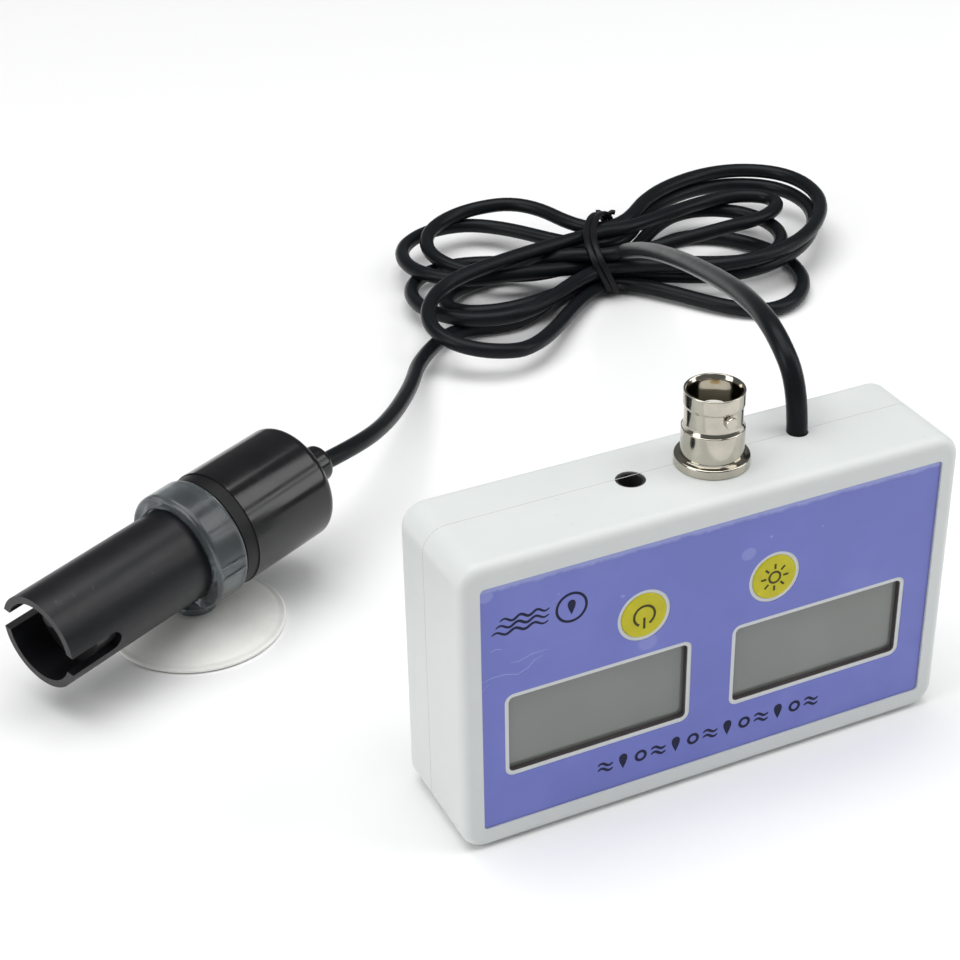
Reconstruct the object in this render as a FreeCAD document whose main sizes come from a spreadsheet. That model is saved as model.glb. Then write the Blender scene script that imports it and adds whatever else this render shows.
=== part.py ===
"""Two-display water monitor: a split plastic case with two push buttons, a bayonet probe
socket and a power inlet, wired to a slotted conductivity probe in a suction-cup holder.

Frame, in millimetres: the origin is the middle of the case's standing face, +Z is up,
+X runs along the case and -Y is the side with the displays.
"""
import FreeCAD, Part
import math
import os

Vector = FreeCAD.Vector
Rotation = FreeCAD.Rotation
Placement = FreeCAD.Placement

doc = FreeCAD.newDocument("water_monitor")

# ---------------------------------------------------------------- driving dimensions
DIMENSIONS = {
    # case
    "case_width": 88.0, "case_depth": 22.0, "case_height": 53.0,
    "case_wall": 2.0, "front_wall": 2.5, "corner_radius": 4.0, "edge_radius": 1.8,
    "seam_y": 1.8,
    # label recess and the openings in it
    "label_width": 81.2, "label_height": 45.4, "label_recess": 0.7, "label_thick": 0.35,
    "label_corner": 0.8, "label_z": 26.4, "label_gap": 0.1,
    "window_width": 31.2, "window_height": 14.3, "window_corner": 0.9,
    "window_rim": 0.7, "rim_thick": 0.25, "rim_root": 0.5, "window_left_x": -20.4, "window_right_x": 19.5,
    "window_z": 20.6,
    # buttons
    "button_radius": 3.95, "button_gap": 0.05, "button_rim": 0.6, "button_z": 35.85,
    "button_left_x": -12.9, "button_right_x": 10.4, "button_proud": 0.1,
    "button_flange_radius": 4.9, "button_flange_thick": 0.8, "flange_gap": 0.1,
    "button_travel": 0.3, "switch_gap": 0.05, "button_edge": 0.25,
    # displays and board
    "glass_width": 33.0, "glass_height": 18.5, "glass_thick": 2.8, "glass_drop": 8.25,
    "glass_step": 1.1, "glass_gap": 0.15,
    "backlight_height": 16.0, "backlight_thick": 2.4,
    "strip_length": 28.0, "strip_height": 1.6,
    "board_width": 69.0, "board_height": 36.5, "board_thick": 1.6, "board_z": 4.0,
    "board_post_x": 31.0, "board_post_low_z": 7.0, "board_post_high_z": 37.5,
    "board_post_radius": 2.2, "board_post_floor": 1.0, "board_screw_radius": 1.0,
    "board_screw_head": 1.9, "board_screw_head_height": 1.2, "board_screw_bite": 3.0,
    "switch_size": 6.0, "switch_height": 3.4, "plunger_radius": 1.7,
    "chip_thick": 1.5,
    # case screws
    "boss_x": 38.5, "boss_low_z": 5.5, "boss_high_z": 47.5, "boss_radius": 3.0,
    "screw_radius": 1.2, "screw_head_radius": 2.5, "screw_head_height": 2.0,
    "counterbore_depth": 2.5, "screw_length": 13.0,
    "drive_length": 3.0, "drive_width": 0.6, "drive_depth": 1.0,
    # top-face connectors
    "inlet_x": -9.4, "inlet_y": 0.8, "inlet_hole_radius": 2.4, "inlet_bore_radius": 1.9,
    "inlet_width": 7.5, "inlet_body_depth": 7.0, "inlet_height": 10.0, "inlet_bore_depth": 9.0,
    "inlet_pin_radius": 0.65, "inlet_pin_length": 8.0,
    "socket_x": 4.5, "socket_y": 0.0, "socket_flange_radius": 6.0, "socket_flange_thick": 1.6,
    "socket_foot_radius": 5.0, "socket_foot_top": 6.6, "socket_barrel_radius": 4.8,
    "socket_waist_radius": 4.6, "socket_waist_low": 7.2, "socket_waist_high": 10.4,
    "socket_height": 13.0, "socket_bore_radius": 4.1, "socket_bore_floor": 3.4,
    "socket_tail_radius": 4.7, "socket_tail_length": 6.8, "socket_hole_radius": 4.75,
    "lug_radius": 1.0, "lug_reach": 5.5, "lug_height": 9.3,
    "insulator_radius": 2.4, "insulator_top": 9.5, "contact_radius": 0.7, "contact_top": 9.9,
    "contact_tail": 2.0, "contact_eye": 0.35, "contact_eye_depth": 3.0,
    "nut_across": 12.7, "nut_height": 2.4, "washer_radius": 6.9, "washer_thick": 0.6,
    # cable
    "cable_x": 21.2, "cable_y": 1.6, "cable_diameter": 3.4, "cable_clearance": 0.05,
    "clamp_radius": 3.8, "clamp_height": 6.0,
    "plug_width": 8.0, "plug_depth": 5.0, "plug_height": 7.0, "cable_start_z": 50.0,
    # probe: distances along its axis are counted from the holder ring, + towards the cable
    "probe_x": -61.2, "probe_y": 68.6, "probe_z": 16.4, "probe_heading": 25.0,
    "probe_tilt": 2.3, "tube_radius": 8.8, "tube_bore": 7.4, "tip_reach": 35.0,
    "tube_tail": 14.0, "slot_width": 3.9, "slot_length": 10.7, "slot_turn": 10.0,
    "cut_margin": 1.0,
    "sensor_front": -28.5, "sensor_back": 11.0, "electrode_radius": 1.3,
    "electrode_offset": 3.4, "electrode_reach": 1.5, "electrode_depth": 3.0,
    "collar_start": 3.9, "collar_end": 6.6, "collar_radius": 11.0,
    "housing_radius": 11.2, "housing_end": 26.7, "housing_bore": 9.4, "housing_edge": 1.8,
    "housing_back_wall": 2.4, "relief_radius": 3.6, "relief_end": 34.5, "relief_edge": 1.2,
    "relief_flange_radius": 5.4, "relief_flange_thick": 1.4, "probe_cable_start": 30.0,
    # holder
    "ring_gap": 0.06, "ring_radius": 11.4, "ring_front": -3.3, "ring_back": 3.7,
    "ring_edge": 0.9, "foot_radius": 4.0, "foot_low": 3.5, "foot_high": 7.2,
    "peg_radius": 2.1, "peg_gap": 0.06, "peg_top": 7.0, "bead_radius": 2.6,
    "bead_low": 5.5, "bead_height": 0.8, "bead_gap": 0.08,
    "cup_radius": 16.2, "cup_edge": 0.5, "cup_shoulder_radius": 12.0, "cup_shoulder_z": 1.9,
    "cup_crown_radius": 4.6, "cup_crown_z": 3.2, "cup_hollow_radius": 14.9,
    "cup_hollow_depth": 1.1,
    # tied hank of cable
    "hank_left_x": 45.5, "hank_left_y": 165.5, "hank_left_radius": 26.0,
    "hank_right_x": 103.0, "hank_right_y": 156.5, "hank_right_radius": 29.0,
    "hank_waist_x": 73.0, "hank_waist_y": 161.0, "hank_waist_half": 12.0,
    "hank_height": 12.5, "hank_edge": 3.5, "tie_width": 2.4, "tie_thick": 1.1,
    "tie_turn": -22.0,
}

# Chips on the back of the board: width, height, and the x and z of the low corner.
CHIPS = {
    "controller": (11.0, 11.0, -7.0, 14.0), "amplifier": (5.0, 6.0, 12.0, 24.0),
    "converter": (5.0, 6.0, -20.0, 24.0), "crystal": (8.0, 3.5, -24.0, 15.0),
}
for chip, numbers in CHIPS.items():
    for side, number in zip(("width", "height", "x", "z"), numbers):
        DIMENSIONS[f"{chip}_{side}"] = number

# Route of the cable from the case to the hank, in millimetres.
CASE_LEAD = [
    (21.2, 1.6, 50.0), (21.2, 1.7, 60.5), (21.0, 9.0, 67.5), (25.5, 24.0, 65.5),
    (32.5, 46.0, 58.5), (42.0, 76.0, 47.5), (52.5, 107.0, 34.0), (62.5, 134.0, 20.0),
    (76.0, 148.0, 13.2),
]
# Route of the cable from the probe to the hank. Its first point is on the probe's axis.
PROBE_LEAD = [
    (-23.5, 85.3, 17.3), (-11.0, 97.0, 13.5), (3.0, 117.0, 8.6), (12.0, 134.0, 5.4),
    (27.0, 149.5, 3.2),
]

dims = doc.addObject("Spreadsheet::Sheet", "dims")
for row, (alias, number) in enumerate(DIMENSIONS.items(), start=1):
    dims.set(f"A{row}", alias)
    dims.set(f"B{row}", str(number))
    dims.setAlias(f"B{row}", alias)
doc.recompute()

NODES = {}


def size(alias):
    """The number that a cell of the sheet holds."""
    return float(dims.get(alias))


def bind(target, properties):
    """Tie each property to its expression on the sheet."""
    for name, expression in properties.items():
        target.setExpression(name, expression)


def place(target, corner):
    """Tie the three coordinates of an object's position to the sheet."""
    for axis, expression in zip("xyz", corner):
        target.setExpression(f"Placement.Base.{axis}", expression)


def node(target, label):
    """Give a finished sub-part its label, which names its file."""
    target.Label = label
    NODES[label] = target
    return target


TURN = {
    "x": Rotation(Vector(0, 1, 0), 90),
    "y": Rotation(Vector(1, 0, 0), -90),
    "z": Rotation(),
}


def block(label, sides, corner):
    """A box with its low corner at the given place."""
    shape = doc.addObject("Part::Box", label)
    bind(shape, dict(zip(("Length", "Width", "Height"), sides)))
    place(shape, corner)
    return shape


def rod(label, radius, length, base, axis="z"):
    """A round bar from its base along one axis."""
    shape = doc.addObject("Part::Cylinder", label)
    bind(shape, {"Radius": radius, "Height": length})
    shape.Placement = Placement(Vector(), TURN[axis])
    place(shape, base)
    return shape


def cone(label, low_radius, high_radius, length, base):
    """A round taper standing on its base."""
    shape = doc.addObject("Part::Cone", label)
    bind(shape, {"Radius1": low_radius, "Radius2": high_radius, "Height": length})
    place(shape, base)
    return shape


def joined(label, shapes):
    fusion = doc.addObject("Part::MultiFuse", label)
    fusion.Shapes = shapes
    return fusion


def trimmed(label, base, tools):
    cut = doc.addObject("Part::Cut", label)
    cut.Base = base
    cut.Tool = tools[0] if len(tools) == 1 else joined(label + "_tools", tools)
    return cut


def along(edge, direction):
    """True where an edge is straight and runs along a unit direction."""
    if edge.Curve.TypeId != "Part::GeomLine":
        return False
    return abs(edge.tangentAt(edge.FirstParameter).dot(direction)) > 0.999


def on_plane(edge, y):
    """True where the whole edge lies at one y."""
    return all(abs(vertex.Y - y) < 0.001 for vertex in edge.Vertexes)


def rounded(body, radius, picks):
    """Round the edges of the body's last feature that the test picks."""
    doc.recompute()
    last = body.Tip
    names = [f"Edge{i}" for i, edge in enumerate(last.Shape.Edges, start=1) if picks(edge)]
    feature = body.newObject("PartDesign::Fillet", body.Name + "_round")
    feature.Base = (last, names)
    feature.setExpression("Radius", radius)
    doc.recompute()
    return feature


def feature(body, kind, properties, base, axis="z"):
    """A box, cylinder or cone that the body gains or loses."""
    item = body.newObject("PartDesign::" + kind, f"{body.Name}_{kind}")
    bind(item, properties)
    item.Placement = Placement(Vector(), TURN[axis])
    place(item, base)
    return item


def box_sides(length, width, height):
    return {"Length": length, "Width": width, "Height": height}


def round_sides(radius, height):
    return {"Radius": radius, "Height": height}


SIDES = (-1, 1)
WINDOWS = {"left": "dims.window_left_x", "right": "dims.window_right_x"}
BUTTONS = {"on_off_button": "dims.button_left_x", "light_button": "dims.button_right_x"}
BOSSES = [(f"{side} * dims.boss_x", f"dims.{level}")
          for side in SIDES for level in ("boss_low_z", "boss_high_z")]
POSTS = [(f"{side} * dims.board_post_x", f"dims.{level}")
         for side in SIDES for level in ("board_post_low_z", "board_post_high_z")]

FRONT_Y = "-dims.case_depth / 2"
BACK_Y = "dims.case_depth / 2"
WALL_BACK_Y = "-dims.case_depth / 2 + dims.front_wall"
RECESS_Y = "-dims.case_depth / 2 + dims.label_recess"
GLASS_BACK_Y = WALL_BACK_Y + " + dims.glass_thick"
BOARD_Y = GLASS_BACK_Y + " + dims.backlight_thick"
BOARD_BACK_Y = BOARD_Y + " + dims.board_thick"
TOP_Z = "dims.case_height"
CEILING_Z = "dims.case_height - dims.case_wall"


# ---------------------------------------------------------------- case
def case_blank(name, low_y, depth, outer_y):
    """A solid half of the case, its corners and its outer rim rounded."""
    body = doc.addObject("PartDesign::Body", name)
    feature(body, "AdditiveBox", box_sides("dims.case_width", depth, "dims.case_height"),
            ("-dims.case_width / 2", low_y, "0"))
    rounded(body, "dims.corner_radius", lambda edge: along(edge, Vector(0, 1, 0)))
    rounded(body, "dims.edge_radius", lambda edge: on_plane(edge, outer_y))
    return body


def cavity(body, low_y, depth):
    feature(body, "SubtractiveBox",
            box_sides("dims.case_width - 2 * dims.case_wall", depth,
                      "dims.case_height - 2 * dims.case_wall"),
            ("-dims.case_width / 2 + dims.case_wall", low_y, "dims.case_wall"))


def connector_holes(body):
    """The three holes that the seam splits in the top face."""
    for radius, x, y in (
        ("dims.inlet_hole_radius", "dims.inlet_x", "dims.inlet_y"),
        ("dims.socket_hole_radius", "dims.socket_x", "dims.socket_y"),
        ("dims.cable_diameter / 2 + dims.cable_clearance", "dims.cable_x", "dims.cable_y"),
    ):
        feature(body, "SubtractiveCylinder", round_sides(radius, "2 * dims.case_wall"),
                (x, y, "dims.case_height - 1.5 * dims.case_wall"))


def window_edges(edge, grow):
    """True for a corner edge of either window, or of its rim when grown."""
    if not along(edge, Vector(0, 1, 0)):
        return False
    half_w = size("window_width") / 2 + grow
    half_h = size("window_height") / 2 + grow
    point = edge.Vertexes[0]
    if abs(abs(point.Z - size("window_z")) - half_h) > 0.001:
        return False
    return any(abs(abs(point.X - size(alias)) - half_w) < 0.001
               for alias in ("window_left_x", "window_right_x"))


def add_windows(body, kind, grow, low_y, depth):
    for x in WINDOWS.values():
        feature(body, kind,
                box_sides(f"dims.window_width + 2 * {grow}", depth,
                          f"dims.window_height + 2 * {grow}"),
                (f"{x} - dims.window_width / 2 - {grow}", low_y,
                 f"dims.window_z - dims.window_height / 2 - {grow}"))


def front_shell():
    body = case_blank("front_shell_body", FRONT_Y, "dims.case_depth / 2 + dims.seam_y",
                      -size("case_depth") / 2)
    cavity(body, WALL_BACK_Y, "dims.case_depth / 2 + dims.seam_y - dims.front_wall")
    feature(body, "SubtractiveBox",
            box_sides("dims.label_width", "dims.label_recess", "dims.label_height"),
            ("-dims.label_width / 2", FRONT_Y, "dims.label_z - dims.label_height / 2"))
    half = size("label_width") / 2
    rounded(body, "dims.label_corner",
            lambda edge: along(edge, Vector(0, 1, 0))
            and abs(abs(edge.Vertexes[0].X) - half) < 0.001)
    add_windows(body, "AdditiveBox", "dims.window_rim", RECESS_Y + " - dims.rim_thick",
                "dims.rim_thick + dims.rim_root")
    rounded(body, "dims.window_corner + dims.window_rim",
            lambda edge: window_edges(edge, size("window_rim")))
    add_windows(body, "SubtractiveBox", "0", FRONT_Y, "dims.front_wall")
    rounded(body, "dims.window_corner", lambda edge: window_edges(edge, 0.0))
    for x in BUTTONS.values():
        feature(body, "AdditiveCylinder",
                round_sides("dims.button_radius + dims.button_gap + dims.button_rim",
                            "dims.rim_thick + dims.rim_root"),
                (x, RECESS_Y + " - dims.rim_thick", "dims.button_z"), "y")
        feature(body, "SubtractiveCylinder",
                round_sides("dims.button_radius + dims.button_gap", "dims.front_wall"),
                (x, FRONT_Y, "dims.button_z"), "y")
    for x, z in BOSSES:
        feature(body, "AdditiveCylinder",
                round_sides("dims.boss_radius",
                            "dims.case_depth / 2 + dims.seam_y - dims.front_wall"),
                (x, WALL_BACK_Y, z), "y")
        feature(body, "SubtractiveCylinder",
                round_sides("dims.screw_radius", "dims.screw_length"),
                (x, "dims.case_depth / 2 - dims.counterbore_depth - dims.screw_length", z), "y")
    for x, z in POSTS:
        feature(body, "AdditiveCylinder",
                round_sides("dims.board_post_radius",
                            "dims.glass_thick + dims.backlight_thick"),
                (x, WALL_BACK_Y, z), "y")
        feature(body, "SubtractiveCylinder",
                round_sides("dims.board_screw_radius",
                            "dims.glass_thick + dims.backlight_thick"
                            " - dims.board_post_floor"),
                (x, WALL_BACK_Y + " + dims.board_post_floor", z), "y")
    connector_holes(body)
    node(body, "front_shell")


def back_shell():
    body = case_blank("back_shell_body", "dims.seam_y", "dims.case_depth / 2 - dims.seam_y",
                      size("case_depth") / 2)
    cavity(body, "dims.seam_y", "dims.case_depth / 2 - dims.seam_y - dims.case_wall")
    for x, z in BOSSES:
        feature(body, "AdditiveCylinder",
                round_sides("dims.boss_radius",
                            "dims.case_depth / 2 - dims.seam_y - dims.case_wall / 2"),
                (x, "dims.seam_y", z), "y")
        feature(body, "SubtractiveCylinder",
                round_sides("dims.screw_radius", "dims.case_depth"),
                (x, "0", z), "y")
        feature(body, "SubtractiveCylinder",
                round_sides("dims.screw_head_radius", "dims.counterbore_depth"),
                (x, "dims.case_depth / 2 - dims.counterbore_depth", z), "y")
    connector_holes(body)
    node(body, "back_shell")


def case_screws():
    pieces = []
    for i, (x, z) in enumerate(BOSSES):
        head_y = "dims.case_depth / 2 - dims.counterbore_depth"
        head = rod(f"case_head_{i}", "dims.screw_head_radius", "dims.screw_head_height",
                   (x, head_y, z), "y")
        shank = rod(f"case_shank_{i}", "dims.screw_radius", "dims.screw_length",
                    (x, f"{head_y} - dims.screw_length", z), "y")
        drive = [block(f"case_drive_{i}_{turn}", sides,
                       (f"{x} - {sides[0]} / 2",
                        f"{head_y} + dims.screw_head_height - dims.drive_depth",
                        f"{z} - {sides[2]} / 2"))
                 for turn, sides in enumerate((
                     ("dims.drive_length", "dims.drive_depth", "dims.drive_width"),
                     ("dims.drive_width", "dims.drive_depth", "dims.drive_length")))]
        pieces.append(trimmed(f"case_screw_{i}", joined(f"case_screw_blank_{i}", [head, shank]),
                              drive))
    node(joined("case_screw_group", pieces), "case_screws")


def label_overlay():
    """The printed film, cut out round the window rims and the button rims."""
    body = doc.addObject("PartDesign::Body", "label_body")
    low_y = RECESS_Y + " - dims.label_thick"
    feature(body, "AdditiveBox",
            box_sides("dims.label_width - 2 * dims.label_gap", "dims.label_thick",
                      "dims.label_height - 2 * dims.label_gap"),
            ("-dims.label_width / 2 + dims.label_gap", low_y,
             "dims.label_z - dims.label_height / 2 + dims.label_gap"))
    rounded(body, "dims.label_corner", lambda edge: along(edge, Vector(0, 1, 0)))
    add_windows(body, "SubtractiveBox", "dims.window_rim", low_y, "dims.label_thick")
    rounded(body, "dims.window_corner + dims.window_rim",
            lambda edge: window_edges(edge, size("window_rim")))
    for x in BUTTONS.values():
        feature(body, "SubtractiveCylinder",
                round_sides("dims.button_radius + dims.button_gap + dims.button_rim",
                            "dims.label_thick"),
                (x, low_y, "dims.button_z"), "y")
    node(body, "label_overlay")


# ---------------------------------------------------------------- buttons
def button(name, x):
    """A disc in the front wall with a flange behind it that keeps it in."""
    body = doc.addObject("PartDesign::Body", name + "_body")
    front = RECESS_Y + " - dims.label_thick - dims.button_proud"
    stem_end = WALL_BACK_Y + " + dims.flange_gap"
    feature(body, "AdditiveCylinder",
            round_sides("dims.button_radius", f"({stem_end}) - ({front})"),
            (x, front, "dims.button_z"), "y")
    front_y = (-size("case_depth") / 2 + size("label_recess") - size("label_thick")
               - size("button_proud"))
    rounded(body, "dims.button_edge", lambda edge: on_plane(edge, front_y))
    feature(body, "AdditiveCylinder",
            round_sides("dims.button_flange_radius", "dims.button_flange_thick"),
            (x, stem_end, "dims.button_z"), "y")
    node(body, name)


# ---------------------------------------------------------------- displays and board
def glass(side, x, low_z):
    """A display cell whose front steps forward into its window."""
    body = doc.addObject("PartDesign::Body", f"{side}_glass_body")
    gap = "2 * dims.glass_gap"
    feature(body, "AdditiveBox",
            box_sides(f"dims.window_width - {gap}", "dims.glass_step + dims.glass_thick / 2",
                      f"dims.window_height - {gap}"),
            (f"{x} - dims.window_width / 2 + dims.glass_gap", WALL_BACK_Y + " - dims.glass_step",
             "dims.window_z - dims.window_height / 2 + dims.glass_gap"))
    rounded(body, "dims.window_corner - dims.glass_gap",
            lambda edge: along(edge, Vector(0, 1, 0)))
    feature(body, "AdditiveBox",
            box_sides("dims.glass_width", "dims.glass_thick", "dims.glass_height"),
            (f"{x} - dims.glass_width / 2", WALL_BACK_Y, low_z))
    node(body, f"{side}_lcd_glass")


def displays():
    low_z = "dims.window_z - dims.glass_drop"
    for side, x in WINDOWS.items():
        glass(side, x, low_z)
        node(block(f"{side}_light", ("dims.glass_width", "dims.backlight_thick",
                                     "dims.backlight_height"),
                   (f"{x} - dims.glass_width / 2", GLASS_BACK_Y, low_z)),
             f"{side}_backlight")
    strips = [block(f"strip_{side}", ("dims.strip_length", "dims.backlight_thick",
                                      "dims.strip_height"),
                    (f"{x} - dims.strip_length / 2", GLASS_BACK_Y,
                     f"{low_z} + dims.glass_height - dims.strip_height"))
              for side, x in WINDOWS.items()]
    node(joined("strips", strips), "lcd_contact_strips")


def main_board():
    board = block("board_blank", ("dims.board_width", "dims.board_thick",
                                  "dims.board_height"),
                  ("-dims.board_width / 2", BOARD_Y, "dims.board_z"))
    holes = [rod(f"board_hole_{i}", "dims.board_screw_radius", "dims.board_thick",
                 (x, BOARD_Y, z), "y") for i, (x, z) in enumerate(POSTS)]
    node(trimmed("board", board, holes), "main_board")

    screws = []
    for i, (x, z) in enumerate(POSTS):
        reach = "dims.board_thick + dims.board_screw_bite"
        head = rod(f"board_head_{i}", "dims.board_screw_head", "dims.board_screw_head_height",
                   (x, BOARD_BACK_Y, z), "y")
        shank = rod(f"board_shank_{i}", "dims.board_screw_radius", reach,
                    (x, f"{BOARD_BACK_Y} - ({reach})", z), "y")
        screws.append(joined(f"board_screw_{i}", [head, shank]))
    node(joined("board_screw_group", screws), "board_screws")

    chips = [block(f"chip_{name}", (f"dims.{name}_width", "dims.chip_thick",
                                    f"dims.{name}_height"),
                   (f"dims.{name}_x", BOARD_BACK_Y, f"dims.{name}_z"))
             for name in CHIPS]
    node(joined("chips", chips), "circuit_chips")

    switches = []
    for name, x in BUTTONS.items():
        base = block(f"{name}_switch", ("dims.switch_size", "dims.switch_height",
                                        "dims.switch_size"),
                     (f"{x} - dims.switch_size / 2", f"{BOARD_Y} - dims.switch_height",
                      "dims.button_z - dims.switch_size / 2"))
        tip_y = (f"{WALL_BACK_Y} + dims.flange_gap + dims.button_flange_thick"
                 " + dims.button_travel + dims.switch_gap")
        plunger = rod(f"{name}_plunger", "dims.plunger_radius",
                      f"({BOARD_Y} - dims.switch_height) - ({tip_y})",
                      (x, tip_y, "dims.button_z"), "y")
        switches.append(joined(f"{name}_switch_solid", [base, plunger]))
    node(joined("switches", switches), "tactile_switches")


# ---------------------------------------------------------------- top-face connectors
def power_inlet():
    low_z = CEILING_Z + " - dims.inlet_height"
    body = block("inlet_blank", ("dims.inlet_width", "dims.inlet_body_depth",
                                 "dims.inlet_height"),
                 ("dims.inlet_x - dims.inlet_width / 2",
                  "dims.inlet_y - dims.inlet_body_depth / 2", low_z))
    bore = rod("inlet_bore", "dims.inlet_bore_radius", "dims.inlet_bore_depth",
               ("dims.inlet_x", "dims.inlet_y", CEILING_Z + " - dims.inlet_bore_depth"))
    node(trimmed("inlet", body, [bore]), "power_inlet")
    node(rod("inlet_pin", "dims.inlet_pin_radius", "dims.inlet_pin_length",
             ("dims.inlet_x", "dims.inlet_y", CEILING_Z + " - dims.inlet_bore_depth")),
         "power_inlet_pin")


def probe_socket():
    """The bayonet socket: a flanged barrel with two lugs, on a tail held by a nut."""
    def stage(label, radius, low, high):
        return rod(label, radius, f"({high}) - ({low})",
                   ("dims.socket_x", "dims.socket_y", f"{TOP_Z} + ({low})"))

    solids = [
        stage("socket_tail", "dims.socket_tail_radius", "-dims.socket_tail_length", "0"),
        stage("socket_flange", "dims.socket_flange_radius", "0",
              "dims.socket_flange_thick"),
        stage("socket_foot", "dims.socket_foot_radius", "dims.socket_flange_thick",
              "dims.socket_foot_top"),
        cone("socket_taper", "dims.socket_foot_radius", "dims.socket_waist_radius",
             "dims.socket_waist_low - dims.socket_foot_top",
             ("dims.socket_x", "dims.socket_y", f"{TOP_Z} + dims.socket_foot_top")),
        stage("socket_waist", "dims.socket_waist_radius", "dims.socket_waist_low",
              "dims.socket_waist_high"),
        stage("socket_mouth", "dims.socket_barrel_radius", "dims.socket_waist_high",
              "dims.socket_height"),
        rod("socket_lugs", "dims.lug_radius", "2 * dims.lug_reach",
            ("dims.socket_x", "dims.socket_y - dims.lug_reach",
             f"{TOP_Z} + dims.lug_height"), "y"),
    ]
    bores = [
        stage("socket_bore", "dims.socket_bore_radius", "dims.socket_bore_floor",
              "dims.socket_height"),
        stage("socket_throat", "dims.insulator_radius", "-dims.socket_tail_length",
              "dims.socket_bore_floor"),
    ]
    node(trimmed("socket", joined("socket_blank", solids), bores), "bayonet_socket")

    insulator = stage("insulator_blank", "dims.insulator_radius",
                      "-dims.socket_tail_length", "dims.insulator_top")
    hole = stage("insulator_hole", "dims.contact_radius", "-dims.socket_tail_length",
                 "dims.insulator_top")
    node(trimmed("insulator", insulator, [hole]), "socket_insulator")
    pin = stage("contact_rod", "dims.contact_radius",
                "-dims.socket_tail_length - dims.contact_tail", "dims.contact_top")
    eye = stage("contact_eye_hole", "dims.contact_eye",
                "dims.contact_top - dims.contact_eye_depth", "dims.contact_top")
    node(trimmed("contact", pin, [eye]), "socket_contact")

    washer_low = "-dims.case_wall - dims.washer_thick"
    node(trimmed("washer",
                 stage("washer_disc", "dims.washer_radius", washer_low, "-dims.case_wall"),
                 [stage("washer_hole", "dims.socket_tail_radius", washer_low,
                        "-dims.case_wall")]),
         "socket_washer")
    nut = doc.addObject("Part::Prism", "nut_blank")
    nut.Polygon = 6
    bind(nut, {"Circumradius": "dims.nut_across / 2 / cos(30)", "Height": "dims.nut_height"})
    nut_low = washer_low + " - dims.nut_height"
    place(nut, ("dims.socket_x", "dims.socket_y", f"{TOP_Z} + ({nut_low})"))
    node(trimmed("nut", nut, [stage("nut_hole", "dims.socket_tail_radius", nut_low,
                                    washer_low)]),
         "socket_nut")


def cable_entry():
    """The clamp under the top wall, and the plug on the board that the cable runs to."""
    bore = "dims.cable_diameter / 2"
    base = ("dims.cable_x", "dims.cable_y", CEILING_Z + " - dims.clamp_height")
    node(trimmed("clamp", rod("clamp_blank", "dims.clamp_radius", "dims.clamp_height", base),
                 [rod("clamp_bore", bore, "dims.clamp_height", base)]),
         "cable_clamp")
    plug_low = "dims.board_z + dims.board_height - dims.plug_height"
    node(block("plug", ("dims.plug_width", "dims.plug_depth", "dims.plug_height"),
               ("dims.cable_x - dims.plug_width / 2", BOARD_BACK_Y, plug_low)),
         "board_connector")
    plug_top = "dims.board_z + dims.board_height"
    node(rod("inner_end", bore, f"dims.cable_start_z - ({plug_top})",
             ("dims.cable_x", "dims.cable_y", plug_top)),
         "cable_inner_end")


# ---------------------------------------------------------------- probe
# The probe's own frame: its Z axis runs from the tip to the cable, its X axis down.
PROBE_FRAME = Placement(
    Vector(size("probe_x"), size("probe_y"), size("probe_z")),
    Rotation(Vector(0, 0, 1), size("probe_heading"))
    * Rotation(Vector(0, 1, 0), 90 - size("probe_tilt")))


def probe_body(name):
    return doc.addObject("PartDesign::Body", name + "_body")


def stretch(body, kind, radius, low, high, offset="0"):
    """A cylinder of the probe between two distances along its axis."""
    return feature(body, kind, round_sides(radius, f"({high}) - ({low})"),
                   ("0", offset, low))


def probe_node(body, label):
    body.Placement = PROBE_FRAME
    node(body, label)


def round_end(body, radius, axial):
    """Round the probe part's edge that lies at one distance along its axis."""
    def picks(edge):
        return (edge.Curve.TypeId == "Part::GeomCircle"
                and abs(edge.Vertexes[0].Z - axial) < 0.001)
    rounded(body, radius, picks)


def probe_tube():
    body = probe_body("probe_tube")
    stretch(body, "AdditiveCylinder", "dims.tube_radius", "-dims.tip_reach", "dims.tube_tail")
    stretch(body, "SubtractiveCylinder", "dims.tube_bore", "-dims.tip_reach",
            "dims.tube_tail")
    turn = Rotation(Vector(0, 0, 1), size("slot_turn"))
    slot = feature(body, "SubtractiveBox",
                   box_sides("dims.slot_width", "2 * (dims.tube_radius + dims.cut_margin)",
                             "dims.slot_length - dims.slot_width / 2"),
                   ("0", "0", "-dims.tip_reach"))
    reach = -size("tube_radius") - size("cut_margin")
    place_turned(slot, turn, turn.multVec(Vector(-size("slot_width") / 2, reach, 0)))
    end = feature(body, "SubtractiveCylinder",
                  round_sides("dims.slot_width / 2",
                              "2 * (dims.tube_radius + dims.cut_margin)"),
                  ("0", "0", "-dims.tip_reach + dims.slot_length - dims.slot_width / 2"))
    place_turned(end, turn * TURN["y"], turn.multVec(Vector(0, reach, 0)))
    probe_node(body, "probe_tube")


def place_turned(item, rotation, moved):
    """Turn a feature about the probe's axis, and set where it lies across that axis."""
    axial = item.Placement.Base.z
    item.setExpression("Placement.Base.x", None)
    item.setExpression("Placement.Base.y", None)
    item.Placement = Placement(Vector(moved.x, moved.y, axial), rotation)


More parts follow.
